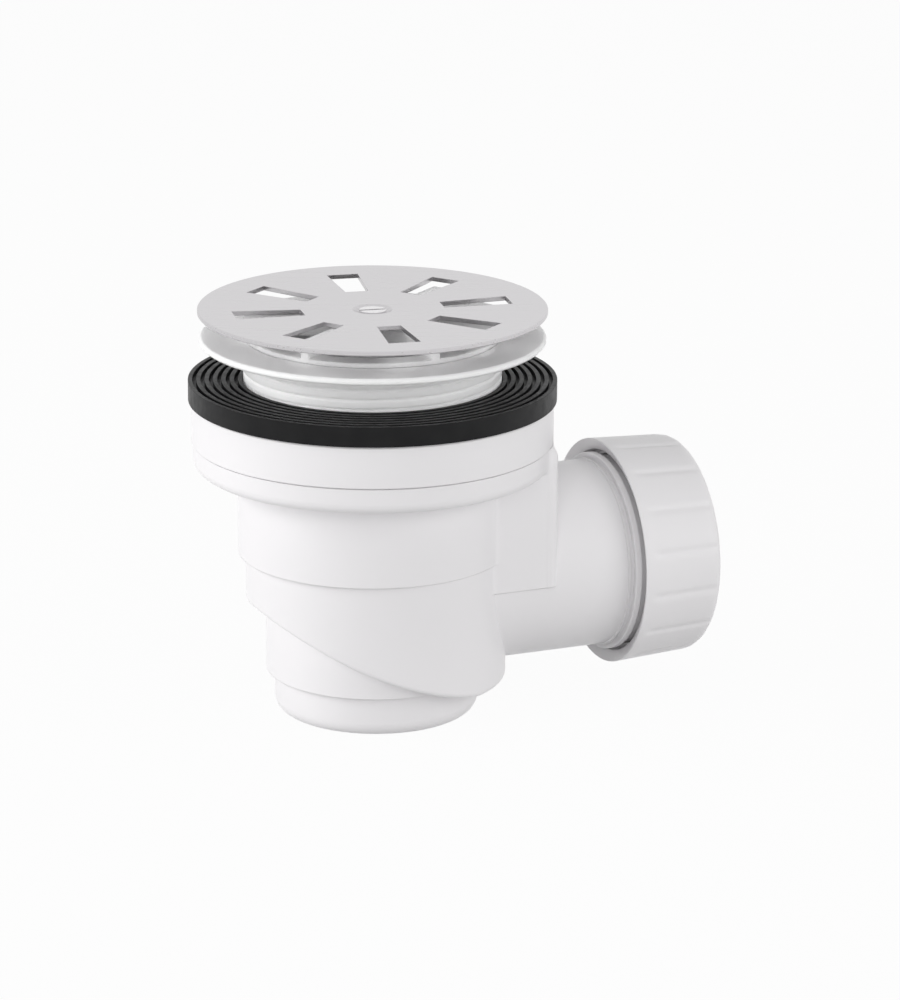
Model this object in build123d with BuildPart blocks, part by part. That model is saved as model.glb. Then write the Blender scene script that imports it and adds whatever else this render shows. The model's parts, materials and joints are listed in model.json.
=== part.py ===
from build123d import *
import os

# Trapped shower gully for a 90 mm hole in a shower tray, with a 50 mm compression outlet.
# Millimetres, +Z up, +X along the outlet. The origin is on the body's axis, at the height
# where the gasket's ridges meet the underside of the tray.

# Clearances
thread_clearance = 0.3
slide_clearance = 0.3
seal_clearance = 0.15
pipe_clearance = 0.35
screw_clearance = 0.2

# Tray joint: clamping flange with its threaded neck, gasket and collar ring
tray_gap = 12.3
flange_diameter = 112.0
flange_thickness = 1.8
flange_dish = 0.4
flange_lip = 0.7
neck_diameter = 83.6
neck_wall = 3.8
neck_length = 31.0
neck_lead = 1.0
gasket_diameter = 119.4
gasket_height = 6.5
gasket_ridges = 7
ridge_width = 1.4
groove_depth = 1.8
collar_diameter = 117.4
collar_height = 14.2
collar_wall = 2.8
collar_edge = 0.8
collar_ribs = 12
rib_width = 2.0
sleeve_wall = 3.0
sleeve_rise = 1.0
lap_height = 4.0
lap_wall = 1.6
seam_gap = 0.4
seam_depth = 1.0
seam_step = 0.5

# Grate and its screw
grate_diameter = 113.0
grate_thickness = 1.5
grate_gap = 7.9
grate_dish = 0.7
grate_edge = 0.3
grate_turn = -9.0
slot_count = 8
slot_inner_radius = 23.0
slot_outer_radius = 45.4
slot_inner_width = 7.8
slot_outer_width = 10.4
dimple_radius = 5.1
dimple_depth = 1.4
screw_head_radius = 4.4
screw_head_height = 1.3
screw_radius = 2.5
screw_length = 11.0
screw_slot_width = 1.3
screw_slot_depth = 0.7
insert_radius = 3.6
insert_length = 9.0

# Dip tube, the lift-out inner piece that carries the grate
web_count = 6
web_turn = -23.0
web_width = 2.8
rim_width = 3.4
rim_thickness = 1.6
hub_wall = 1.6
hub_depth = 14.0
skirt_wall = 3.4
cone_height = 12.0
tube_diameter = 50.0
tube_wall = 2.0
ring_section = 1.9
ring_edge = 0.4
ring_groove_width = 2.8
ring_level = 3.0

# Trap body
body_wall = 2.8
bowl_height = 8.6
bowl_round = 3.5
shell_diameter = 87.7
shell_height = 28.5
shell_step = 2.6
trap_offset = 1.25
shallow_depth = 13.3
deep_depth = 42.7
ramp_level_x = 22.6
ramp_sag = 4.4
channel_gap = 3.6
channel_edge = 1.5
foot_step = 2.75
foot_height = 13.9
foot_round = 4.5
base_drop = 54.0
weir_drop = 19.2
water_seal = 50.0

# Outlet: housing, spigot, nut and its seals
outlet_drop = 38.5
housing_reach = 52.8
housing_ledge = 0.9
housing_round = 3.2
valley_round = 4.0
spigot_wall = 5.65
spigot_reach = 96.0
land_length = 18.0
bead_width = 0.8
bead_gap = 1.1
land_rise = 0.5
pipe_diameter = 50.0
pipe_wall = 2.4
socket_depth = 34.0
stop_width = 3.0
mouth_depth = 8.0
mouth_flare = 3.2
nut_overlap = 14.7
nut_length = 28.9
nut_wall = 5.8
nut_taper = 1.5
nut_lip = 3.5
nut_end_round = 4.0
nut_rim_edge = 0.9
nut_lead_rise = 1.9
nut_lead_depth = 4.0
grip_count = 16
grip_turn = 9.7
grip_width = 2.4
grip_depth = 0.35
grip_start = 3.5
seal_tip = 3.0
slip_ring_width = 3.0

# Heights, from the grate down to the foot
flange_under = tray_gap
flange_top = flange_under + flange_thickness
grate_under = flange_top + grate_gap
grate_top = grate_under + grate_thickness
dish_under = grate_under - grate_dish
hub_top = dish_under - dimple_depth
hub_bottom = hub_top - hub_depth
neck_bottom = flange_under - neck_length
skirt_bottom = neck_bottom + slide_clearance
cone_bottom = skirt_bottom - cone_height
collar_top = -gasket_height
seam = collar_top - collar_height
bowl_bottom = seam - bowl_height
bowl_floor = bowl_bottom + body_wall
shell_bottom = bowl_bottom - shell_height
ramp_high = shell_bottom - shallow_depth
ramp_low = shell_bottom - deep_depth
base = shell_bottom - base_drop
foot_top = base + foot_height
weir = bowl_bottom - weir_drop
tube_bottom = weir - water_seal
outlet_level = bowl_bottom - outlet_drop

# Radii about the body's axis
grate_radius = grate_diameter / 2
dimple_mouth = dimple_radius + dimple_depth
dimple_back = grate_thickness / 2
hub_recess = dimple_mouth + dimple_back + slide_clearance
hub_radius = hub_recess + hub_wall
flange_radius = flange_diameter / 2
neck_radius = neck_diameter / 2
neck_bore = neck_radius - neck_wall
rim_radius = neck_bore + rim_width
sleeve_bore = neck_radius + thread_clearance
sleeve_radius = sleeve_bore + sleeve_wall
gasket_radius = gasket_diameter / 2
collar_radius = collar_diameter / 2
collar_bore = collar_radius - collar_wall
bowl_radius = collar_radius - seam_step
bowl_bore = bowl_radius - body_wall
lap_radius = bowl_bore - slide_clearance
lap_bore = lap_radius - lap_wall
shell_radius = shell_diameter / 2
shell_bore = shell_radius - body_wall
channel_radius = shell_radius - shell_step + trap_offset
channel_bore = channel_radius - body_wall
ramp_start_x = trap_offset - channel_radius - body_wall
ramp_end_x = trap_offset + channel_radius + body_wall
cup_radius = channel_bore - channel_gap
cup_bore = cup_radius - body_wall
foot_radius = cup_radius - foot_step
foot_bore = foot_radius - body_wall
skirt_radius = neck_bore - slide_clearance
skirt_bore = skirt_radius - skirt_wall
ring_radius = neck_bore - seal_clearance
ring_groove_radius = ring_radius - ring_section - seal_clearance
tube_radius = tube_diameter / 2
tube_bore = tube_radius - tube_wall

# Distances along the outlet and radii about its axis
pipe_radius = pipe_diameter / 2
stop_bore = pipe_radius - pipe_wall
socket_bore = pipe_radius + pipe_clearance
spigot_radius = socket_bore + spigot_wall
land_radius = spigot_radius + land_rise
land_start = spigot_reach - land_length
bead_end = land_start + bead_width
thread_start = bead_end + bead_gap
flow_bore = spigot_radius - body_wall
socket_start = spigot_reach - socket_depth
stop_start = socket_start - stop_width
mouth_start = spigot_reach - mouth_depth
mouth_radius = socket_bore + mouth_flare
housing_half = spigot_radius + housing_ledge
nut_start = spigot_reach - nut_overlap
nut_end = nut_start + nut_length
nut_lead_end = nut_start + nut_lead_depth
nut_bore = land_radius + thread_clearance
nut_inner_radius = nut_bore + nut_wall
nut_outer_radius = nut_inner_radius - nut_taper
nut_lead_radius = nut_bore + nut_lead_rise
nut_seat = nut_end - nut_lip
nut_mouth = socket_bore + slide_clearance
slip_bore = nut_mouth + slide_clearance
seal_bore = socket_bore + seal_clearance
seal_start = mouth_start + seal_tip
slip_start = nut_seat - slip_ring_width
outlet_plane = Plane(origin=(0, 0, outlet_level), x_dir=(1, 0, 0), z_dir=(0, -1, 0))
outlet_axis = Axis((0, 0, outlet_level), (1, 0, 0))


def disc(radius, bottom, top, mode=Mode.ADD, centre=0):
    """Add to the piece in hand, or cut from it, a level disc with its centre on the X axis."""
    with BuildSketch(Plane.XY.offset(bottom)) as face:
        with Locations((centre, 0)):
            Circle(radius)
    extrude(face.sketch, amount=top - bottom, mode=mode)


def turned(points, plane=Plane.XZ, axis=Axis.Z, mode=Mode.ADD):
    """Turn a closed outline of points about an axis, as on a lathe."""
    with BuildSketch(plane) as section:
        with BuildLine():
            Polyline(*points, close=True)
        make_face()
    revolve(section.sketch, axis=axis, mode=mode)


def turned_outlet(points, mode=Mode.ADD):
    """Turn an outline of (distance along the outlet, radius) points about the outlet's axis."""
    turned(points, outlet_plane, outlet_axis, mode)


def channel_block(lift):
    """Cut block over the channel's floor, which falls along an arc and runs level to the outlet."""
    with BuildSketch(Plane.XZ) as side:
        with BuildLine():
            fall = SagittaArc((ramp_start_x, ramp_high + lift), (ramp_level_x, ramp_low + lift), -ramp_sag)
            level = Line(fall @ 1, (ramp_end_x, ramp_low + lift))
            Polyline(level @ 1, (ramp_end_x, bowl_floor), (ramp_start_x, bowl_floor), fall @ 0)
        make_face()
    extrude(side.sketch, amount=channel_radius + body_wall, both=True)


def circle_edges(piece, radius):
    """The round edges of a piece that have this radius, from the lowest to the highest."""
    rounds = piece.edges().filter_by(GeomType.CIRCLE)
    return rounds.filter_by(lambda edge: abs(edge.radius - radius) < slide_clearance).sort_by(Axis.Z)


def valley_edges(piece):
    """The upright edges where the housing's sides meet the round walls, from the lowest up."""
    uprights = piece.edges().filter_by(Axis.Z)
    beside = uprights.filter_by(lambda edge: abs(edge.center().Y) > housing_half - slide_clearance)
    return beside.filter_by(lambda edge: edge.center().X < shell_radius).sort_by(Axis.Z)


os.makedirs("parts", exist_ok=True)

# Grate: a pressed steel disc, dished a little, with radial slots and a dimple for its screw
dish_top = dish_under + grate_thickness
head_seat = dish_top - dimple_depth
with BuildPart() as grate:
    turned([
        (screw_radius + screw_clearance, head_seat),
        (dimple_radius, head_seat),
        (dimple_mouth, dish_top),
        (grate_radius - grate_edge, grate_top),
        (grate_radius, grate_top - grate_edge),
        (grate_radius, grate_under + grate_edge),
        (grate_radius - grate_edge, grate_under),
        (dimple_mouth + dimple_back, dish_under),
        (dimple_radius + dimple_back, hub_top),
        (screw_radius + screw_clearance, hub_top),
    ])
    with BuildSketch(Plane.XY.offset(dish_under)):
        with PolarLocations(0, slot_count, start_angle=grate_turn):
            Polygon(
                (slot_inner_radius, -slot_inner_width / 2),
                (slot_outer_radius, -slot_outer_width / 2),
                (slot_outer_radius, slot_outer_width / 2),
                (slot_inner_radius, slot_inner_width / 2),
                align=None,
            )
    extrude(amount=grate_top - dish_under, mode=Mode.SUBTRACT)
grate.part.label = "grate"
export_step(grate.part, "parts/grate.step")

# Screw: a slotted cheese head in the grate's dimple, its shank down into the hub
with BuildPart() as grate_screw:
    disc(screw_head_radius, head_seat, head_seat + screw_head_height)
    disc(screw_radius, head_seat - screw_length, head_seat)
    with BuildSketch(Plane.XY.offset(head_seat + screw_head_height)):
        Rectangle(2 * screw_head_radius, screw_slot_width, rotation=grate_turn)
    extrude(amount=-screw_slot_depth, mode=Mode.SUBTRACT)
grate_screw.part.label = "grate_screw"
export_step(grate_screw.part, "parts/grate_screw.step")

# Threaded insert: a brass bush in the hub, which takes the screw
with BuildPart() as screw_insert:
    disc(insert_radius, hub_top - insert_length, hub_top)
    disc(screw_radius + seal_clearance, hub_top - insert_length, hub_top, Mode.SUBTRACT)
screw_insert.part.label = "screw_insert"
export_step(screw_insert.part, "parts/screw_insert.step")

# Dip tube: rim, skirt, cone and tube in one wall, with a hub on webs across its mouth
with BuildPart() as dip_tube:
    turned([
        (skirt_bore, flange_top + rim_thickness),
        (rim_radius, flange_top + rim_thickness),
        (rim_radius, flange_top),
        (skirt_radius, flange_top),
        (skirt_radius, skirt_bottom),
        (tube_radius, cone_bottom),
        (tube_radius, tube_bottom),
        (tube_bore, tube_bottom),
        (tube_bore, cone_bottom),
        (skirt_bore, skirt_bottom),
    ])
    with BuildSketch(Plane.XY.offset(flange_top)):
        with PolarLocations(0, web_count, start_angle=web_turn):
            Rectangle(rim_radius, web_width, align=(Align.MIN, Align.CENTER))
    extrude(amount=dish_under - flange_top)
    disc(hub_radius, hub_bottom, dish_under)
    disc(hub_recess, hub_top, dish_under, Mode.SUBTRACT)
    disc(insert_radius + seal_clearance, hub_top - insert_length, hub_top, Mode.SUBTRACT)
    disc(screw_radius + screw_clearance, hub_bottom, hub_top, Mode.SUBTRACT)
    turned([
        (ring_groove_radius, ring_level),
        (neck_bore, ring_level),
        (neck_bore, ring_level + ring_groove_width),
        (ring_groove_radius, ring_level + ring_groove_width),
    ], mode=Mode.SUBTRACT)
dip_tube.part.label = "dip_tube"
export_step(dip_tube.part, "parts/dip_tube.step")

# Ring seal in the skirt's groove, against the bore of the neck
with BuildPart() as dip_tube_seal:
    ring_bottom = ring_level + (ring_groove_width - ring_section) / 2
    turned([
        (ring_radius - ring_section, ring_bottom),
        (ring_radius - ring_edge, ring_bottom),
        (ring_radius, ring_bottom + ring_edge),
        (ring_radius, ring_bottom + ring_section - ring_edge),
        (ring_radius - ring_edge, ring_bottom + ring_section),
        (ring_radius - ring_section, ring_bottom + ring_section),
    ])
dip_tube_seal.part.label = "dip_tube_seal"
export_step(dip_tube_seal.part, "parts/dip_tube_seal.step")

# Clamping flange: a thin dished flange over the tray and the neck that screws into the collar
with BuildPart() as clamp_flange:
    turned([
        (neck_bore, flange_top),
        (rim_radius + slide_clearance, flange_top),
        (flange_radius - flange_lip, flange_top + flange_dish),
        (flange_radius, flange_top + flange_dish - flange_lip),
        (flange_radius, flange_under + flange_lip),
        (flange_radius - flange_lip, flange_under),
        (neck_radius, flange_under),
        (neck_radius, neck_bottom + neck_lead),
        (neck_radius - neck_lead, neck_bottom),
        (neck_bore, neck_bottom),
    ])
clamp_flange.part.label = "clamp_flange"
export_step(clamp_flange.part, "parts/clamp_flange.step")

# Tray gasket: a thick rubber ring with concentric ridges on its upper face
gasket_bore = neck_radius + thread_clearance
ridge_pitch = (gasket_radius - gasket_bore - ridge_width) / (gasket_ridges - 1)
groove_width = ridge_pitch - ridge_width
with BuildPart() as tray_gasket:
    turned([
        (gasket_bore, collar_top),
        (gasket_radius, collar_top),
        (gasket_radius, 0),
        (gasket_bore, 0),
    ])
    for groove in range(gasket_ridges - 1):
        groove_start = gasket_bore + ridge_width + groove * ridge_pitch
        turned([
            (groove_start, 0),
            (groove_start, -groove_depth),
            (groove_start + groove_width, -groove_depth),
            (groove_start + groove_width, 0),
        ], mode=Mode.SUBTRACT)
tray_gasket.part.label = "tray_gasket"
export_step(tray_gasket.part, "parts/tray_gasket.step")

# Collar ring: top plate, outer skirt with a lap joint and a threaded sleeve, tied by ribs
plate_under = collar_top - collar_wall
with BuildPart() as collar_ring:
    turned([
        (sleeve_bore, collar_top),
        (collar_radius - collar_edge, collar_top),
        (collar_radius, collar_top - collar_edge),
        (collar_radius, seam + seam_gap),
        (collar_radius - seam_depth, seam + seam_gap),
        (collar_radius - seam_depth, seam),
        (lap_radius, seam),
        (lap_radius, seam - lap_height),
        (lap_bore, seam - lap_height),
        (lap_bore, seam + lap_height),
        (collar_bore, seam + lap_height),
        (collar_bore, plate_under),
        (sleeve_radius, plate_under),
        (sleeve_radius, seam + sleeve_rise),
        (sleeve_bore, seam + sleeve_rise),
    ])
    with BuildSketch(Plane.XY.offset(seam + sleeve_rise)):
        with PolarLocations((sleeve_radius + lap_bore) / 2, collar_ribs):
            Rectangle(lap_bore - sleeve_radius + lap_wall, rib_width)
    extrude(amount=plate_under - seam - sleeve_rise)
collar_ring.part.label = "collar_ring"
export_step(collar_ring.part, "parts/collar_ring.step")

# Space in the channel round the cup, cut from the trap body below
with BuildPart() as channel_space:
    channel_block(body_wall)
    disc(channel_bore, base, bowl_floor, Mode.INTERSECT, trap_offset)

# Trap body: a bowl and a shell, the channel with its sloping floor, the housing and the spigot,
# hollowed out, then the cup that holds the water stands in the channel. The channel, the cup and
# its foot stand a little off the body's axis, towards the outlet
with BuildPart() as trap_body:
    channel_block(0)
    disc(channel_radius, base, bowl_floor, Mode.INTERSECT, trap_offset)
    floor_edges = trap_body.edges().filter_by(GeomType.LINE, reverse=True).sort_by(Axis.Z)
    fillet(floor_edges[:-1], channel_edge)
    disc(bowl_radius, bowl_bottom, seam)
    fillet(circle_edges(trap_body, bowl_radius)[0], bowl_round)
    disc(shell_radius, shell_bottom, bowl_floor)
    with BuildSketch(Plane.XY.offset(outlet_level)) as housing:
        Rectangle(housing_reach, 2 * housing_half, align=(Align.MIN, Align.CENTER))
        fillet(housing.vertices().sort_by(Axis.X)[-2:], housing_round)
    extrude(amount=bowl_bottom + bowl_round - outlet_level)
    fillet(valley_edges(trap_body)[-2:], valley_round)
    fillet(valley_edges(trap_body)[:2], valley_round)
    turned_outlet([
        (0, 0),
        (0, spigot_radius),
        (land_start, spigot_radius),
        (land_start, land_radius),
        (bead_end, land_radius),
        (bead_end, spigot_radius),
        (thread_start, spigot_radius),
        (thread_start, land_radius),
        (spigot_reach, land_radius),
        (spigot_reach, 0),
    ])
    disc(bowl_bore, bowl_floor, seam, Mode.SUBTRACT)
    disc(shell_bore, shell_bottom + body_wall, bowl_floor, Mode.SUBTRACT)
    add(channel_space.part, mode=Mode.SUBTRACT)
    with BuildSketch(Plane.XY.offset(outlet_level)):
        Rectangle(housing_reach - body_wall, 2 * (housing_half - body_wall), align=(Align.MIN, Align.CENTER))
    extrude(amount=bowl_bottom - outlet_level, mode=Mode.SUBTRACT)
    turned_outlet([
        (0, 0),
        (0, flow_bore),
        (stop_start, flow_bore),
        (stop_start, stop_bore),
        (socket_start, stop_bore),
        (socket_start, socket_bore),
        (mouth_start, socket_bore),
        (spigot_reach, mouth_radius),
        (spigot_reach, 0),
    ], Mode.SUBTRACT)
    disc(cup_radius, foot_top, weir, centre=trap_offset)
    disc(foot_radius, base, foot_top, centre=trap_offset)
    fillet(circle_edges(trap_body, foot_radius)[0], foot_round)
    disc(cup_bore, foot_top + body_wall, weir, Mode.SUBTRACT, trap_offset)
    disc(foot_bore, base + body_wall, foot_top + body_wall, Mode.SUBTRACT, trap_offset)
trap_body.part.label = "trap_body"
export_step(trap_body.part, "parts/trap_body.step")

# One grip groove of the nut, a shallow vee along its tapered side
grip_origin = (nut_start + grip_start, 0, outlet_level + nut_inner_radius)
grip_plane = Plane(origin=grip_origin, x_dir=(0, 1, 0), z_dir=(nut_length, 0, -nut_taper))
with BuildPart() as grip_groove:
    with BuildSketch(grip_plane):
        Polygon((-grip_width, grip_depth), (0, -grip_depth), (grip_width, grip_depth), align=None)
    extrude(amount=nut_length)

# Compression nut: a tapered cap with grip grooves, screwed over the spigot's end
with BuildPart() as compression_nut:
    turned_outlet([
        (nut_start, nut_lead_radius),
        (nut_start, nut_inner_radius - nut_rim_edge),
        (nut_start + nut_rim_edge, nut_inner_radius),
        (nut_end, nut_outer_radius),
        (nut_end, nut_mouth),
        (nut_seat, nut_mouth),
        (nut_seat, nut_bore),
        (nut_lead_end, nut_bore),
        (nut_lead_end, nut_lead_radius),
    ])
    fillet(circle_edges(compression_nut, nut_outer_radius), nut_end_round)
    for grip in range(grip_count):
        groove_turn = grip_turn + grip * 360 / grip_count
        add(grip_groove.part.rotate(outlet_axis, groove_turn), mode=Mode.SUBTRACT)
compression_nut.part.label = "compression_nut"
export_step(compression_nut.part, "parts/compression_nut.step")

# Cone seal: a rubber ring that the nut presses into the spigot's mouth, round the pipe
with BuildPart() as cone_seal:
    tip_radius = socket_bore + mouth_flare * seal_tip / mouth_depth - seal_clearance
    turned_outlet([
        (seal_start, seal_bore),
        (seal_start, tip_radius),
        (spigot_reach, mouth_radius - seal_clearance),
        (slip_start, mouth_radius - seal_clearance),
        (slip_start, seal_bore),
    ])
cone_seal.part.label = "cone_seal"
export_step(cone_seal.part, "parts/cone_seal.step")

# Slip ring: a hard washer between the nut's lip and the cone seal
with BuildPart() as slip_ring:
    turned_outlet([
        (slip_start, slip_bore),
        (slip_start, nut_bore - slide_clearance),
        (nut_seat, nut_bore - slide_clearance),
        (nut_seat, slip_bore),
    ])
slip_ring.part.label = "slip_ring"
export_step(slip_ring.part, "parts/slip_ring.step")
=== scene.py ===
# %% [markdown]
# # A shower gully with a water trap
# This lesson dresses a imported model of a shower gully: white moulded plastic, a brushed steel grate and a
# ridged rubber gasket. The solids come in as a fixed frame in metres, +Z up and +X along the outlet. We
# give each one a finish, and build anew only what a plain solid can't show, such as the thread on the neck.

# %% Load the frame
import json
import math
import bpy
import numpy as np
from mathutils import Matrix, Vector


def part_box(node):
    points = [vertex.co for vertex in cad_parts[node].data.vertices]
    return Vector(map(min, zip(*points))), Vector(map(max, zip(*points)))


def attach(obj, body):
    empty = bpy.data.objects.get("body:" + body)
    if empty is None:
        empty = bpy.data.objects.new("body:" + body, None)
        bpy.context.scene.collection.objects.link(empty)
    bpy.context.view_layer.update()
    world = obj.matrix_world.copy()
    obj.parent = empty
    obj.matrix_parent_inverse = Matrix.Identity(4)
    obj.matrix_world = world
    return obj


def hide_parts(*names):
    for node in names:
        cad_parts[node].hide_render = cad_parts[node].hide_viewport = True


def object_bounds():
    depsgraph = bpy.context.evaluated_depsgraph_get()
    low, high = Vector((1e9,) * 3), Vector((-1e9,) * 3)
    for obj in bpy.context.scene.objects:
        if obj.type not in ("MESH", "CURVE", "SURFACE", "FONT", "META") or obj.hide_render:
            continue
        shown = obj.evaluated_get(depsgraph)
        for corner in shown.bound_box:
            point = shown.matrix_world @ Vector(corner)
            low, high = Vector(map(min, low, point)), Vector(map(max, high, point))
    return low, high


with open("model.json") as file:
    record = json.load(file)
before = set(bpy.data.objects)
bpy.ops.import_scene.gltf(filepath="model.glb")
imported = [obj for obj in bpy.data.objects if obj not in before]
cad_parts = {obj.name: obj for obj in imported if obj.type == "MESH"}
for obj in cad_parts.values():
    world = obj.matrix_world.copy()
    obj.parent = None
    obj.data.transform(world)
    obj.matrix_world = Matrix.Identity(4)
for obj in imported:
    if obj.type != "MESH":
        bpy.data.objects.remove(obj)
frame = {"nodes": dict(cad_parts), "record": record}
solid_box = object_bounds()
nodes = frame["nodes"]
print("pieces in the frame:", ", ".join(sorted(nodes)))

# %% [markdown]
# ## The camera
# A photograph is matched by standing where its camera stood. The grate's ellipse gives the height of the
# eye, the outlet's direction gives the turn round the object, and the taper of the rings gives the
# distance. A long lens far away keeps the rings nearly parallel, as they are in a catalogue picture.

# %% Stand the camera where the photograph was taken
picture_height = 1000
focal_pixels = 4660
sensor_size = 36
view_depth = 20
eye_distance = 1.5
eye_turn = math.radians(-22.86)
eye_height = math.radians(16.67)
eye_roll = math.radians(0.28)
aim_right = 0.0252
aim_up = -0.0620

away = Vector((math.sin(eye_turn) * math.cos(eye_height), -math.cos(eye_turn) * math.cos(eye_height),
               math.sin(eye_height)))
across = Vector((math.cos(eye_turn), math.sin(eye_turn), 0))
upward = away.cross(across)

grate_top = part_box("grate")[1].z
camera = bpy.data.objects.new("camera", bpy.data.cameras.new("camera"))
bpy.context.scene.collection.objects.link(camera)
bpy.context.scene.camera = camera
camera.data.sensor_width = sensor_size
camera.data.lens = sensor_size * focal_pixels / picture_height
camera.data.clip_end = view_depth
turn = Matrix((across, upward, away)).transposed().to_4x4() @ Matrix.Rotation(eye_roll, 4, "Z")
place = Vector((0, 0, grate_top)) + aim_right * across + aim_up * upward + eye_distance * away
camera.matrix_world = Matrix.Translation(place) @ turn
print("camera at", [round(v, 3) for v in place], "lens", round(camera.data.lens, 1), "mm")

# %% [markdown]
# ## Materials from small parts
# Every finish below is a Principled shader with a few texture nodes. Two helpers keep the cells short. One
# makes an empty material and sets its constant numbers. The other adds a noise that reads Object
# coordinates, so the pattern sits in the piece and has a size in metres.

# %% An empty finish, and a noise for it
def new_finish(name, roughness, **sockets):
    """An empty node material with one Principled shader, and constant numbers set on its own sockets."""
    finish = bpy.data.materials.new(name)
    finish.use_nodes = True
    shader = finish.node_tree.nodes["Principled BSDF"]
    shader.inputs["Roughness"].default_value = roughness
    for socket, value in sockets.items():
        shader.inputs[socket.replace("_", " ")].default_value = value
    return finish, finish.node_tree, shader


def grain(tree, size, stretch=(1, 1, 1), turn=0.0, detail=4.0):
    """Noise whose lumps are about size metres across, drawn out by stretch after a turn about Z."""
    coords = tree.nodes.new("ShaderNodeTexCoord")
    mapping = tree.nodes.new("ShaderNodeMapping")
    mapping.vector_type = "TEXTURE"
    mapping.inputs["Rotation"].default_value = (0, 0, turn)
    mapping.inputs["Scale"].default_value = stretch
    noise = tree.nodes.new("ShaderNodeTexNoise")
    noise.inputs["Scale"].default_value = 1 / size
    noise.inputs["Detail"].default_value = detail
    tree.links.new(coords.outputs["Object"], mapping.inputs["Vector"])
    tree.links.new(mapping.outputs["Vector"], noise.inputs["Vector"])
    return noise.outputs["Fac"]


# %% [markdown]
# ## From a noise to a look
# A noise is a number between 0 and 1, and most of it lies near the middle. Three more helpers lay that
# middle out as a range of numbers, as a range of colours, or as a relief. The relief also eases the edges
# in the shading, because no moulded or stamped edge is quite sharp.

# %% Lay a noise out as numbers, colours or a relief
noise_low = 0.3
noise_high = 0.7
edge_samples = 8


def spread(tree, source, low, high):
    """Lay the middle of a 0 to 1 pattern out between two numbers."""
    ramp = tree.nodes.new("ShaderNodeMapRange")
    ramp.inputs["From Min"].default_value = noise_low
    ramp.inputs["From Max"].default_value = noise_high
    ramp.inputs["To Min"].default_value = low
    ramp.inputs["To Max"].default_value = high
    tree.links.new(source, ramp.inputs["Value"])
    return ramp.outputs["Result"]


def tint(tree, source, dark, light):
    """Lay the middle of a 0 to 1 pattern out between two colours."""
    ramp = tree.nodes.new("ShaderNodeValToRGB")
    ramp.color_ramp.elements[0].position = noise_low
    ramp.color_ramp.elements[0].color = (*dark, 1)
    ramp.color_ramp.elements[1].position = noise_high
    ramp.color_ramp.elements[1].color = (*light, 1)
    tree.links.new(source, ramp.inputs["Fac"])
    return ramp.outputs["Color"]


def relief(tree, shader, source, height, edge):
    """Let a pattern raise the surface by height metres, over edges eased by a small radius."""
    ease = tree.nodes.new("ShaderNodeBevel")
    ease.samples = edge_samples
    ease.inputs["Radius"].default_value = edge
    bump = tree.nodes.new("ShaderNodeBump")
    bump.inputs["Distance"].default_value = height
    tree.links.new(source, bump.inputs["Height"])
    tree.links.new(ease.outputs["Normal"], bump.inputs["Normal"])
    tree.links.new(bump.outputs["Normal"], shader.inputs["Normal"])


# %% [markdown]
# ## White polypropylene
# The gully's mouldings are white polypropylene: a satin gloss, never quite even, with a faint orange-peel
# from the mould. A plain white would look like paper, so the colour drifts by a few per cent, the gloss
# changes from patch to patch, and a fine relief breaks up the reflections.

# %% White moulded plastic
plastic_ior = 1.49
drift_size = 0.06
patch_size = 0.02
peel_size = 0.0008
peel_height = 0.000003
moulded_edge = 0.0005


def moulded_plastic(name, dark, light, **sockets):
    """Colour drifts between two tones, gloss changes in patches, and a fine peel lies over the surface."""
    finish, tree, shader = new_finish(name, roughness=0.32, IOR=plastic_ior, **sockets)
    drift = grain(tree, drift_size, detail=1.0)
    tree.links.new(tint(tree, drift, dark, light), shader.inputs["Base Color"])
    patches = grain(tree, patch_size, detail=2.0)
    tree.links.new(spread(tree, patches, low=0.29, high=0.36), shader.inputs["Roughness"])
    relief(tree, shader, grain(tree, peel_size, detail=1.0), peel_height, moulded_edge)
    return finish


white_plastic = moulded_plastic("white_plastic", dark=(0.79, 0.778, 0.79), light=(0.815, 0.803, 0.815))
print("finish:", white_plastic.name)

# %% [markdown]
# ## Thin polypropylene
# The clamping flange is moulded in the same plastic, but so thin that light passes through it and it glows
# at the rim. Making it see-through would show what is behind it. Scattering under the surface doesn't:
# light goes in on one side, wanders a millimetre or two and comes out on the other. Its colour is painted
# far paler than the other mouldings: painted light, which lifts the shade under the grate and the flange.

# %% White plastic that lets light through, with painted light in its paler tone
# Painted light: these tones are far paler than the white plastic's, to lift the shade under the grate.
thin_plastic_painted_light = moulded_plastic("thin_white_plastic_painted_light", dark=(0.96, 0.952, 0.96), light=(0.98, 0.972, 0.98),
                               Subsurface_Weight=1.0, Subsurface_Radius=(1, 1, 1), Subsurface_Scale=0.002)
print("finish:", thin_plastic_painted_light.name)

# %% [markdown]
# ## Brushed steel
# The grate is rolled steel brushed in one direction. A noise drawn out along the brush gives both the fine
# lines in the gloss and the fine scratches in the relief. The brush runs from left to right in the picture,
# so the pattern is turned by the camera's own turn, but it stays fixed to the metal.

# %% Brushed steel for the grate
brush = (0.04, 0.0007, 0.0007)
steel, tree, shader = new_finish("brushed_steel", roughness=0.32, Metallic=1.0)
lines = grain(tree, size=1.0, stretch=brush, turn=eye_turn, detail=3.0)
tone = tint(tree, lines, dark=(0.575, 0.563, 0.575), light=(0.635, 0.622, 0.635))
tree.links.new(tone, shader.inputs["Base Color"])
tree.links.new(spread(tree, lines, low=0.26, high=0.38), shader.inputs["Roughness"])
relief(tree, shader, lines, height=0.000002, edge=0.0003)
print("finish:", steel.name)

# %% [markdown]
# ## Polished steel
# The screw in the middle is turned and polished, so it is smoother and paler than the plate round it. The
# plate's finish would brush its head in the same direction, so it has one of its own. Fine lumps in the
# gloss stand for wear from the screwdriver.

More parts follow.
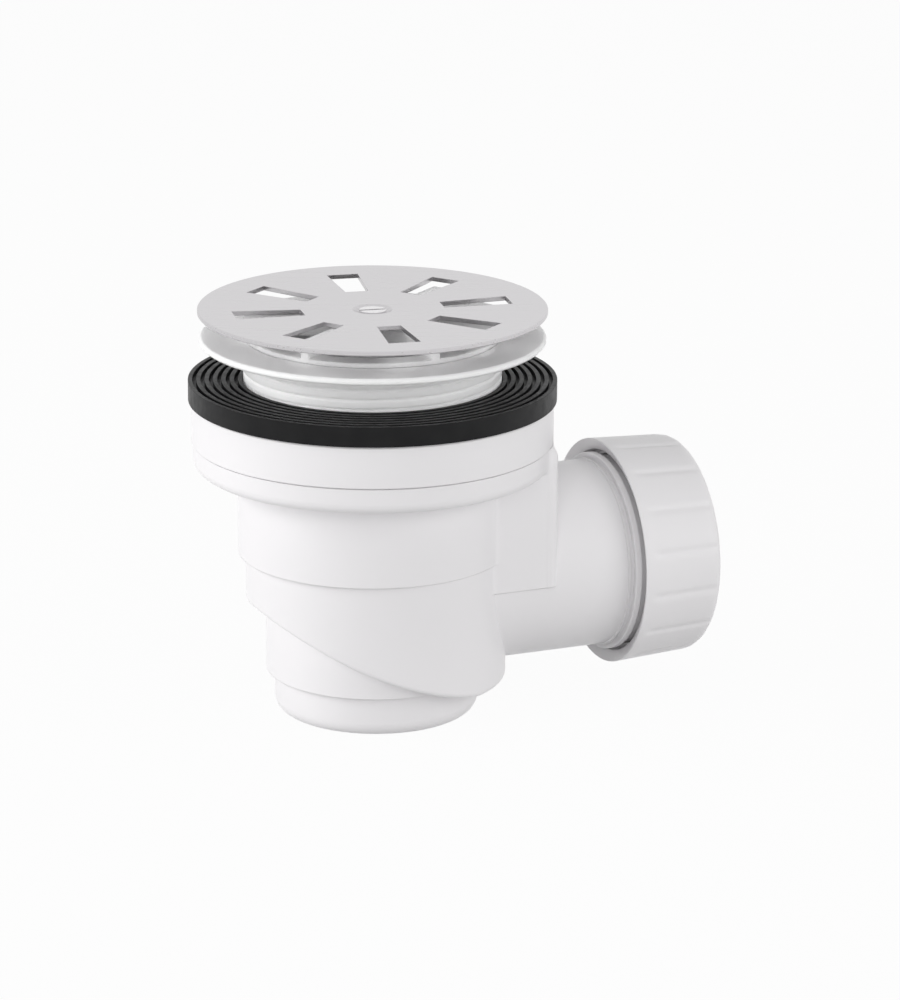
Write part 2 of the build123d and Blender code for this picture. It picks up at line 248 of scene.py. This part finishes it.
# %% Polished steel for the screw
bright_steel, tree, shader = new_finish("polished_steel", roughness=0.18, Metallic=1.0)
wear = grain(tree, size=0.0008, detail=2.0)
tone = tint(tree, wear, dark=(0.70, 0.69, 0.70), light=(0.80, 0.79, 0.80))
tree.links.new(tone, shader.inputs["Base Color"])
tree.links.new(spread(tree, wear, low=0.14, high=0.24), shader.inputs["Roughness"])
relief(tree, shader, wear, height=0.000004, edge=0.0002)
print("finish:", bright_steel.name)

# %% [markdown]
# ## Rubber
# The gasket is black rubber. Rubber is dark grey rather than black and almost matt. A high roughness alone
# would leave a grey veil over it, so its shine is turned down too, and a little dust makes it paler in
# patches.

# %% Black rubber
rubber, tree, shader = new_finish("black_rubber", roughness=0.45, Specular_IOR_Level=0.2)
tone = tint(tree, grain(tree, size=0.008), dark=(0.004, 0.004, 0.0045), light=(0.008, 0.008, 0.0085))
tree.links.new(tone, shader.inputs["Base Color"])
tree.links.new(spread(tree, grain(tree, size=0.003), low=0.38, high=0.5), shader.inputs["Roughness"])
relief(tree, shader, grain(tree, size=0.0006), height=0.00001, edge=0.0003)
print("finish:", rubber.name)

# %% [markdown]
# ## Brass
# The bush in the hub is turned brass. It hardly shows, but it is there when the grate is lifted, so it gets
# a simple finish: one noise for the tarnish, and a finer one for the marks of the tool.

# %% Turned brass
brass, tree, shader = new_finish("turned_brass", roughness=0.3, Metallic=1.0)
tone = tint(tree, grain(tree, size=0.002), dark=(0.60, 0.42, 0.18), light=(0.72, 0.53, 0.26))
tree.links.new(tone, shader.inputs["Base Color"])
tree.links.new(spread(tree, grain(tree, size=0.0004), low=0.2, high=0.4), shader.inputs["Roughness"])
print("finish:", brass.name)

# %% [markdown]
# ## Finishes on the pieces
# The record that comes with the frame says what each piece is made of, so the finishes are given out by
# that list and no piece can be left bare. Two pieces differ from their list: the lift-out tube is moulded
# thin, in the paler plastic whose tone is painted light, and the screw is polished.

# %% Give the solids their finishes
finish_of_slot = {"white_plastic": white_plastic, "steel": steel, "rubber": rubber, "brass": brass}
# The lift-out tube takes the thin plastic, whose paler tone is painted light under the grate.
finish_of_piece = {"dip_tube": thin_plastic_painted_light, "grate_screw": bright_steel}
for part in frame["record"]["subparts"]:
    mesh = nodes[part["node"]].data
    mesh.materials.clear()
    mesh.materials.append(finish_of_piece.get(part["node"], finish_of_slot[part["material_slot"]]))
    print(part["node"], "is", mesh.materials[0].name, "with", len(mesh.polygons), "faces")

# %% [markdown]
# ## Measuring a turned piece
# The clamping flange and the compression nut are built anew below, and a shoulder and two corners are added
# to the body. All of them are outlines carried round an axis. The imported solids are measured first, so the
# turned pieces keep to them even if the model is packed again with other sizes.

# %% Measure a solid about an axis
hair = 1e-5
mm_in_metre = 1000
x_axis = 0
z_axis = 2
origin = (0, 0, 0)


def turned_corners(name, axis, centre):
    """Each corner of a solid as two numbers: how far along an axis it stands, and how far from it."""
    mesh = nodes[name].data
    points = np.empty(3 * len(mesh.vertices))
    mesh.vertices.foreach_get("co", points)
    points = np.roll(points.reshape(-1, 3) - centre, z_axis - axis, axis=1)
    return points[:, 2], np.hypot(points[:, 0], points[:, 1])


def matching(measure, value, other):
    """The other measure of the corners at which one measure has a given value."""
    return other[np.abs(measure - value) < hair]


corner_height, corner_radius = turned_corners("clamp_flange", z_axis, origin)
neck_bottom = corner_height.min()
flange_crown = corner_height.max()
neck_bore = corner_radius.min()
flange_radius = corner_radius.max()
neck_radius = corner_radius[corner_height < 0].max()
flange_top = matching(corner_radius, neck_bore, corner_height).max()
flange_under = matching(corner_radius, neck_radius, corner_height).max()
print("neck", round(2 * neck_radius * mm_in_metre, 1), "mm across")
print("flange", round(2 * flange_radius * mm_in_metre, 1), "mm across")

# %% [markdown]
# ## Carrying an outline round an axis
# An outline is a closed row of points in two numbers: away from the axis and along it. Carried round the
# axis in equal steps it gives a grid without ends, so the surface is closed and needs no caps. A patch goes
# only part of the way, and gets a cap at each end. The outline runs anticlockwise, which turns every face
# outwards.

# %% Outlines and turned surfaces
sharp_angle = math.radians(25)


def outline_along(points, step):
    """Points at most a step apart along the straight runs between the given points, back to the first."""
    points = np.asarray(points)
    runs = []
    for start, end in zip(points, np.roll(points, -1, axis=0)):
        count = max(1, int(np.ceil(np.linalg.norm(end - start) / step)))
        share = np.arange(count)[:, None] / count
        runs.append(start + share * (end - start))
    return np.concatenate(runs)


def turned_mesh(name, radius, along, angle, axis, centre, all_round=True):
    """A closed surface: two coordinates are radius times cosine and sine of the angle, the third is along."""
    rows, columns = radius.shape
    points = np.stack([radius * np.cos(angle), radius * np.sin(angle), along], axis=-1).reshape(-1, 3)
    points = np.roll(points, axis - z_axis, axis=1) + centre
    strips = columns if all_round else columns - 1
    row, column = np.meshgrid(np.arange(rows), np.arange(strips), indexing="ij")
    next_row = (row + 1) % rows
    next_column = (column + 1) % columns
    faces = np.stack([row * columns + column, row * columns + next_column, next_row * columns + next_column,
                      next_row * columns + column], axis=-1).reshape(-1, 4).tolist()
    if not all_round:
        first_end = np.arange(rows) * columns
        faces += [first_end.tolist(), (first_end[::-1] + columns - 1).tolist()]
    mesh = bpy.data.meshes.new(name)
    mesh.from_pydata(points.tolist(), [], faces, shade_flat=False)
    mesh.set_sharp_from_angle(angle=sharp_angle)
    piece = bpy.data.objects.new(name, mesh)
    bpy.context.scene.collection.objects.link(piece)
    print(name, "has", len(mesh.polygons), "faces")
    return piece


# %% [markdown]
# ## The thread
# The neck carries a coarse outside thread, which pulls the tray down on the gasket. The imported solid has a
# plain neck. A thread can be cut with a screw modifier, but then the flange and the thread are two meshes
# that have to be joined. Here a helix lowers the neck's own surface, so no joint is needed. The groove is
# shallow and rounded, as moulded threads are.

# %% The depth of a helical groove
thread_pitch = 0.00315
groove_share = 0.34
groove_depth = 0.0007
thread_fade = 0.002


def helix_groove(height, angle, top, bottom):
    """Depth of the thread: a narrow rounded groove that climbs one pitch a turn, faded out at both ends."""
    phase = np.mod(height / thread_pitch - angle / (2 * np.pi), 1.0)
    across_groove = np.clip(2 - 4 * np.abs(phase - 0.5) / groove_share, 0, 1)
    rounded = across_groove ** 2 * (3 - 2 * across_groove)
    fade = np.clip((top - height) / thread_fade, 0, 1) * np.clip((height - bottom) / thread_fade, 0, 1)
    return groove_depth * rounded * fade


print("thread pitch", thread_pitch * mm_in_metre, "mm, depth", groove_depth * mm_in_metre, "mm")

# %% [markdown]
# ## The flange and its neck
# The clamping flange is one moulding: a thin dished flange, and the neck under it. Its outline starts at
# the foot of the bore and goes out, up the neck, round the flange's rim and back down the bore. As the
# outline goes round the axis, the points on the neck are pulled in by the depth of the thread.

# %% A flange whose neck carries the thread
flange_steps = 288
ridge_steps = 10

outline = outline_along([
    (neck_bore, neck_bottom),
    (matching(corner_height, neck_bottom, corner_radius).max(), neck_bottom),
    (neck_radius, matching(corner_radius, neck_radius, corner_height).min()),
    (neck_radius, flange_under),
    (matching(corner_height, flange_under, corner_radius).max(), flange_under),
    (flange_radius, matching(corner_radius, flange_radius, corner_height).min()),
    (flange_radius, matching(corner_radius, flange_radius, corner_height).max()),
    (matching(corner_height, flange_crown, corner_radius).max(), flange_crown),
    (matching(corner_height, flange_top, corner_radius).max(), flange_top),
    (neck_bore, flange_top),
], thread_pitch / ridge_steps)
angle = np.linspace(0, 2 * np.pi, flange_steps, endpoint=False)[None, :]
height = np.repeat(outline[:, 1:], flange_steps, axis=1)
on_neck = (np.abs(outline[:, :1] - neck_radius) < hair) & (outline[:, 1:] < flange_under)
radius = outline[:, :1] - on_neck * helix_groove(height, angle, flange_under, neck_bottom)
threaded_flange = turned_mesh("threaded_flange", radius, height, angle, z_axis, origin)
# The flange's paler tone is painted light that lifts the shade under the grate and the flange.
threaded_flange.data.materials.append(thin_plastic_painted_light)
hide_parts("clamp_flange")
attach(threaded_flange, "root")

# %% [markdown]
# ## The nut's outline
# The compression nut screws over the spigot and squeezes a seal on the outlet pipe. Its mouth is a cone
# that leads the thread in, with a dark ring of shadow behind it, and all its edges are soft. An eased
# corner leaves one side a little before the corner and joins the next side a little after it, on a
# parabola.

# %% Measure the nut and ease its corners
cone_depth = 0.0019
lead_depth = 0.006
end_ease = 0.004
rim_ease = 0.0005
inner_ease = 0.0003
ease_steps = 6


def eased_outline(corners, reaches):
    """Each corner becomes a parabola, from a reach before the corner, bent towards it, to a reach after it."""
    corners = np.asarray(corners)
    before = np.roll(corners, 1, axis=0) - corners
    after = np.roll(corners, -1, axis=0) - corners
    reaches = np.asarray(reaches)[:, None]
    start = corners + reaches * before / np.linalg.norm(before, axis=1, keepdims=True)
    end = corners + reaches * after / np.linalg.norm(after, axis=1, keepdims=True)
    share = np.linspace(0, 1, ease_steps)[None, :, None]
    bend = 2 * share * (1 - share) * corners[:, None]
    curve = (1 - share) ** 2 * start[:, None] + bend + share ** 2 * end[:, None]
    return curve.reshape(-1, 2)


nut_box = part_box("compression_nut")
nut_centre = np.array([0, 0, (nut_box[0].z + nut_box[1].z) / 2])
corner_along, corner_radius = turned_corners("compression_nut", x_axis, nut_centre)
nut_start = corner_along.min()
nut_end = corner_along.max()
nut_radius = corner_radius.max()
pipe_mouth = corner_radius.min()
seal_seat = matching(corner_radius, pipe_mouth, corner_along).min()
thread_bore = matching(corner_along, seal_seat, corner_radius).max()
far_half = corner_along > (nut_start + nut_end) / 2
round_start = corner_along[far_half][corner_radius[far_half].argmax()]
taper = (nut_radius - corner_radius[far_half].max()) / (round_start - nut_start)
end_radius = nut_radius - taper * (nut_end - nut_start)
lead_radius = matching(corner_along, nut_start, corner_radius).min()
nut_outline = eased_outline([
    (lead_radius, nut_start + cone_depth),
    (nut_radius, nut_start),
    (end_radius, nut_end),
    (pipe_mouth, nut_end),
    (pipe_mouth, seal_seat),
    (thread_bore, seal_seat),
    (thread_bore, nut_start + lead_depth),
    (lead_radius, nut_start + lead_depth),
], [inner_ease, rim_ease, end_ease] + [inner_ease] * 5)
print("nut", round(2 * nut_radius * mm_in_metre, 1), "mm across")
print("nut", round((nut_end - nut_start) * mm_in_metre, 1), "mm long")

# %% [markdown]
# ## The nut's grips
# Sixteen shallow grooves along the nut give a wet hand something to hold. Cut with a tool they would have
# sharp edges, but these are moulded, so they are pressed into the outline as it goes round. Each is a soft
# dip with the shape of a bell curve, which fades in behind the rim and fades out where the end is rounded.

# %% A nut with soft grip grooves
grip_count = 16
grip_turn = math.radians(9.7)
grip_width = 0.0012
grip_depth = 0.00045
grip_start = 0.003
grip_fade = 0.002
grip_edge = 0.0012
nut_steps = 480
nut_step = 0.0012


def grip_dip(along, radius, angle):
    """A bell curve across each groove, times a fade along the nut, times a fade away from its outer side."""
    spacing = 2 * np.pi / grip_count
    aside = (np.mod(angle - grip_turn + spacing / 2, spacing) - spacing / 2) * nut_radius
    fade_in = np.clip((along - nut_start - grip_start) / grip_fade, 0, 1)
    below = nut_radius - taper * (along - nut_start) - radius
    on_outside = np.clip(1 - below / grip_edge, 0, 1)
    return grip_depth * np.exp(-(aside / grip_width) ** 2) * fade_in * on_outside


outline = outline_along(nut_outline, nut_step)
angle = np.linspace(0, 2 * np.pi, nut_steps, endpoint=False)[None, :]
along = np.repeat(outline[:, 1:], nut_steps, axis=1)
radius = outline[:, :1] - grip_dip(outline[:, 1:], outline[:, :1], angle)
grip_nut = turned_mesh("grip_nut", radius, along, angle, x_axis, nut_centre)
grip_nut.data.materials.append(white_plastic)
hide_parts("compression_nut")
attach(grip_nut, "root")

# %% [markdown]
# ## The spigot's shoulder
# Just inside the nut's mouth the spigot has a low shoulder, so only a narrow dark gap is left in front of
# the thread. It is moulded with the body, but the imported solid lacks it, and the body is too intricate to
# build anew for it. A ring stands for it here, sunk a little into the spigot so that no seam shows.

# %% A ring for the shoulder
shoulder_rise = 0.0015
shoulder_sink = 0.0003
shoulder_reach = 0.0008
shoulder_ease = 0.0003
shoulder_search = 0.004
shoulder_steps = 192

spigot_along, spigot_radius = turned_corners("trap_body", x_axis, nut_centre)
beside_nut = (np.abs(spigot_along - nut_start) < shoulder_search) & (spigot_radius < thread_bore)
land_radius = spigot_radius[beside_nut].max()
land_start = spigot_along[beside_nut & (land_radius - spigot_radius < hair)].max()
shoulder_outline = eased_outline([
    (land_radius - shoulder_sink, land_start),
    (land_radius + shoulder_rise, land_start),
    (land_radius + shoulder_rise, nut_start + shoulder_reach),
    (land_radius - shoulder_sink, nut_start + shoulder_reach),
], [shoulder_ease] * 4)
angle = np.linspace(0, 2 * np.pi, shoulder_steps, endpoint=False)[None, :]
radius = np.repeat(shoulder_outline[:, :1], shoulder_steps, axis=1)
along = np.repeat(shoulder_outline[:, 1:], shoulder_steps, axis=1)
spigot_shoulder = turned_mesh("spigot_shoulder", radius, along, angle, x_axis, nut_centre)
spigot_shoulder.data.materials.append(white_plastic)
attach(spigot_shoulder, "root")
print("shoulder", round(2 * (land_radius + shoulder_rise) * mm_in_metre, 1), "mm across")

# %% [markdown]
# ## The housing's corners
# The outlet's housing is square, and its two outer corners run up past the bowl as far as the collar. The
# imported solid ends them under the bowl. A box could be set there, but it would meet the bowl in a hard
# line. So each corner is a patch about the body's axis. In every direction it reaches as far as the
# housing's outline or the bowl's side, and a soft maximum of the two rounds the valley between them.

# %% How far a corner reaches
housing_reach = 0.0528
housing_half = 0.0319
housing_round = 0.0032
bowl_round = 0.0035
under_slope = 10
valley = 0.003
bowl_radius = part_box("trap_body")[1].y


def housing_outline(direction):
    """Distance from the axis to the housing's outline: its front, its side, or the arc between them."""
    arc_centre = np.array([housing_reach - housing_round, housing_half - housing_round])
    front = housing_reach / np.cos(direction)
    side = housing_half / np.sin(direction)
    toward = arc_centre[0] * np.cos(direction) + arc_centre[1] * np.sin(direction)
    arc = toward + np.sqrt(np.maximum(toward ** 2 - arc_centre @ arc_centre + housing_round ** 2, 0))
    on_arc = (front * np.sin(direction) > arc_centre[1]) & (side * np.cos(direction) > arc_centre[0])
    return np.where(on_arc, arc, np.minimum(front, side))


def bowl_outline(below):
    """The bowl's radius at a depth below its straight side: a quarter circle, then in under the bottom."""
    across_round = np.clip(below / bowl_round, 0, 1)
    under = np.maximum(below - bowl_round, 0)
    return bowl_radius - bowl_round * (1 - np.sqrt(1 - across_round ** 2)) - under_slope * under


def soft_maximum(one, other):
    """The larger of two reaches, with a parabola in place of the corner where they are nearly alike."""
    near = np.maximum(1 - np.abs(one - other) / valley, 0)
    return np.maximum(one, other) + valley / 4 * near ** 2


print("bowl", round(2 * bowl_radius * mm_in_metre, 1), "mm across")

# %% [markdown]
# ## The corner patches
# A patch starts level with the outlet's axis and has its rows close together where the valley is. Over the
# last few millimetres it leans in, until it is flush with the collar. Towards its two sides it dives a hair
# under the solid, so no edge shows there. The patch at the back is the front one mirrored.

# %% Two corner patches
bowl_side = 0.0051
corner_from = math.radians(15)
corner_to = math.radians(40)
corner_proud = 0.00003
corner_dive = 0.0003
dive_power = 8
corner_lean = 0.004
corner_steps = 128
valley_rows = 40
lean_rows = 12

collar_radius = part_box("collar_ring")[1].y
corner_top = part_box("trap_body")[1].z
bowl_edge = corner_top - bowl_side
valley_foot = bowl_edge - 2 * bowl_round
direction = np.linspace(corner_from, corner_to, corner_steps)[None, :]
height = np.concatenate([[nut_centre[2]], np.linspace(valley_foot, bowl_edge, valley_rows),
                         np.linspace(bowl_edge, corner_top, lean_rows + 1)[1:]])[:, None]
dive = corner_dive * np.linspace(-1, 1, corner_steps) ** dive_power
lean = np.clip(1 - (corner_top - height) / corner_lean, 0, 1) ** 2
outside = soft_maximum(housing_outline(direction), bowl_outline(bowl_edge - height) - 2 * corner_proud)
outside = outside + corner_proud - dive
outside = outside - lean * np.maximum(outside - collar_radius, 0)
inside = np.minimum(outside.min(axis=0, keepdims=True), bowl_radius) - corner_dive
radius = np.concatenate([inside, outside, inside])
along = np.repeat(np.concatenate([height[:1], height, height[-1:]]), corner_steps, axis=1)
for name, side in (("front_housing_corner", -1), ("back_housing_corner", 1)):
    corner = turned_mesh(name, radius[:, ::side], along, side * direction[:, ::side], z_axis, origin,
                         all_round=False)
    corner.data.materials.append(white_plastic)
    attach(corner, "root")
print("corners", round(outside.max() * mm_in_metre, 1), "mm from the axis")

# %% [markdown]
# ## The floor
# The picture is a catalogue cut-out, white all round. The floor is a plain sheet at the height of the foot,
# so large that its edges never come into view.

# %% A sheet for the floor
floor_size = 6.0
floor_height = solid_box[0].z
half = floor_size / 2
floor_mesh = bpy.data.meshes.new("floor")
floor_mesh.from_pydata([(-half, -half, floor_height), (half, -half, floor_height), (half, half, floor_height),
                        (-half, half, floor_height)], [], [(0, 1, 2, 3)])
floor = bpy.data.objects.new("floor", floor_mesh)
bpy.context.scene.collection.objects.link(floor)
print("floor at", round(floor_height, 4), "m")

# %% [markdown]
# ## The floor's finish
# More light on the floor would make it white, but would burn out the plastic as well. Where the camera sees
# the floor, most of it glows white instead, and the rest is left to take the object's shadow. Where light
# only bounces off it, it is an ordinary pale sheet.

# %% A white floor that keeps the shadow
glow_share = 0.96
floor_tone = 0.6


def seen_directly(tree):
    """One where a ray comes from the camera, or from a mirror or clear surface, else nought."""
    path = tree.nodes.new("ShaderNodeLightPath")
    either = tree.nodes.new("ShaderNodeMath")
    either.operation = "MAXIMUM"
    any_of = tree.nodes.new("ShaderNodeMath")
    any_of.operation = "MAXIMUM"
    tree.links.new(path.outputs["Is Camera Ray"], either.inputs[0])
    tree.links.new(path.outputs["Is Glossy Ray"], either.inputs[1])
    tree.links.new(either.outputs["Value"], any_of.inputs[0])
    tree.links.new(path.outputs["Is Transmission Ray"], any_of.inputs[1])
    return any_of.outputs["Value"]


floor_finish = bpy.data.materials.new("floor")
floor_finish.use_nodes = True
tree = floor_finish.node_tree
tree.nodes.clear()
sheet = tree.nodes.new("ShaderNodeBsdfDiffuse")
sheet.inputs["Color"].default_value = (floor_tone, floor_tone, floor_tone, 1)
glow = tree.nodes.new("ShaderNodeEmission")
share = tree.nodes.new("ShaderNodeMath")
share.operation = "MULTIPLY"
share.inputs[1].default_value = glow_share
blend = tree.nodes.new("ShaderNodeMixShader")
output = tree.nodes.new("ShaderNodeOutputMaterial")
tree.links.new(seen_directly(tree), share.inputs[0])
tree.links.new(share.outputs["Value"], blend.inputs["Fac"])
tree.links.new(sheet.outputs["BSDF"], blend.inputs[1])
tree.links.new(glow.outputs["Emission"], blend.inputs[2])
tree.links.new(blend.outputs["Shader"], output.inputs["Surface"])
floor_mesh.materials.append(floor_finish)
print("floor glows by", glow_share)

# %% [markdown]
# ## The sky
# The studio's walls are white, so light comes softly from every side. The sky is white to the camera and in
# the steel's reflections, and gives a weaker, even light to everything else.

# %% An even sky
sky_strength = 0.30
world = bpy.data.worlds.new("studio")
bpy.context.scene.world = world
world.use_nodes = True
tree = world.node_tree
tree.nodes.clear()
fill = tree.nodes.new("ShaderNodeBackground")
fill.inputs["Color"].default_value = (1, 1, 1, 1)
fill.inputs["Strength"].default_value = sky_strength
white = tree.nodes.new("ShaderNodeBackground")
white.inputs["Color"].default_value = (1, 1, 1, 1)
blend = tree.nodes.new("ShaderNodeMixShader")
output = tree.nodes.new("ShaderNodeOutputWorld")
tree.links.new(seen_directly(tree), blend.inputs["Fac"])
tree.links.new(fill.outputs["Background"], blend.inputs[1])
tree.links.new(white.outputs["Background"], blend.inputs[2])
tree.links.new(blend.outputs["Shader"], output.inputs["Surface"])
print("sky strength", sky_strength)

# %% [markdown]
# ## The lamps
# Four softboxes shape the white plastic. The strongest stands on the left and makes that side the palest.
# All but the last stand only a little above the object, so they look in under the grate and the flange,
# where the neck would otherwise be in shadow. The last hangs overhead and lights the tops of the pipe and
# the nut. The steel would mirror a lamp as a burnt-out patch from some sides, so shiny surfaces see the
# white sky alone.

# %% Four softboxes
# Each lamp: metres to the right, to the front and up, then its width, its height and its watts.
lamps = {
    "left_lamp": (-1.25, 0.3, 0.42, 1.2, 0.9, 14.2),
    "front_lamp": (0, 1.4, 0.4, 0.8, 0.8, 5.6),
    "right_lamp": (1.25, 0.45, 0.32, 0.8, 0.8, 7.2),
    "top_lamp": (0, 0, 1.4, 1.0, 1.0, 2.8),
}


def softbox(name, place, aim, width, height, power):
    """An oblong area lamp at a place, turned to face a point, which shiny surfaces don't mirror."""
    lamp = bpy.data.objects.new(name, bpy.data.lights.new(name, "AREA"))
    lamp.data.shape = "RECTANGLE"
    lamp.data.size = width
    lamp.data.size_y = height
    lamp.data.energy = power
    lamp.visible_glossy = False
    lamp.location = place
    lamp.rotation_mode = "QUATERNION"
    lamp.rotation_quaternion = (aim - place).to_track_quat("-Z", "Y")
    bpy.context.scene.collection.objects.link(lamp)


middle = (solid_box[0] + solid_box[1]) / 2
level = Vector((math.sin(eye_turn), -math.cos(eye_turn), 0))
above = Vector((0, 0, 1))
for name, (right, front, up, width, tall, power) in lamps.items():
    softbox(name, middle + right * across + front * level + up * above, middle, width, tall, power)
bpy.context.scene.view_settings.view_transform = "Standard"
print("lamps:", ", ".join(lamps))
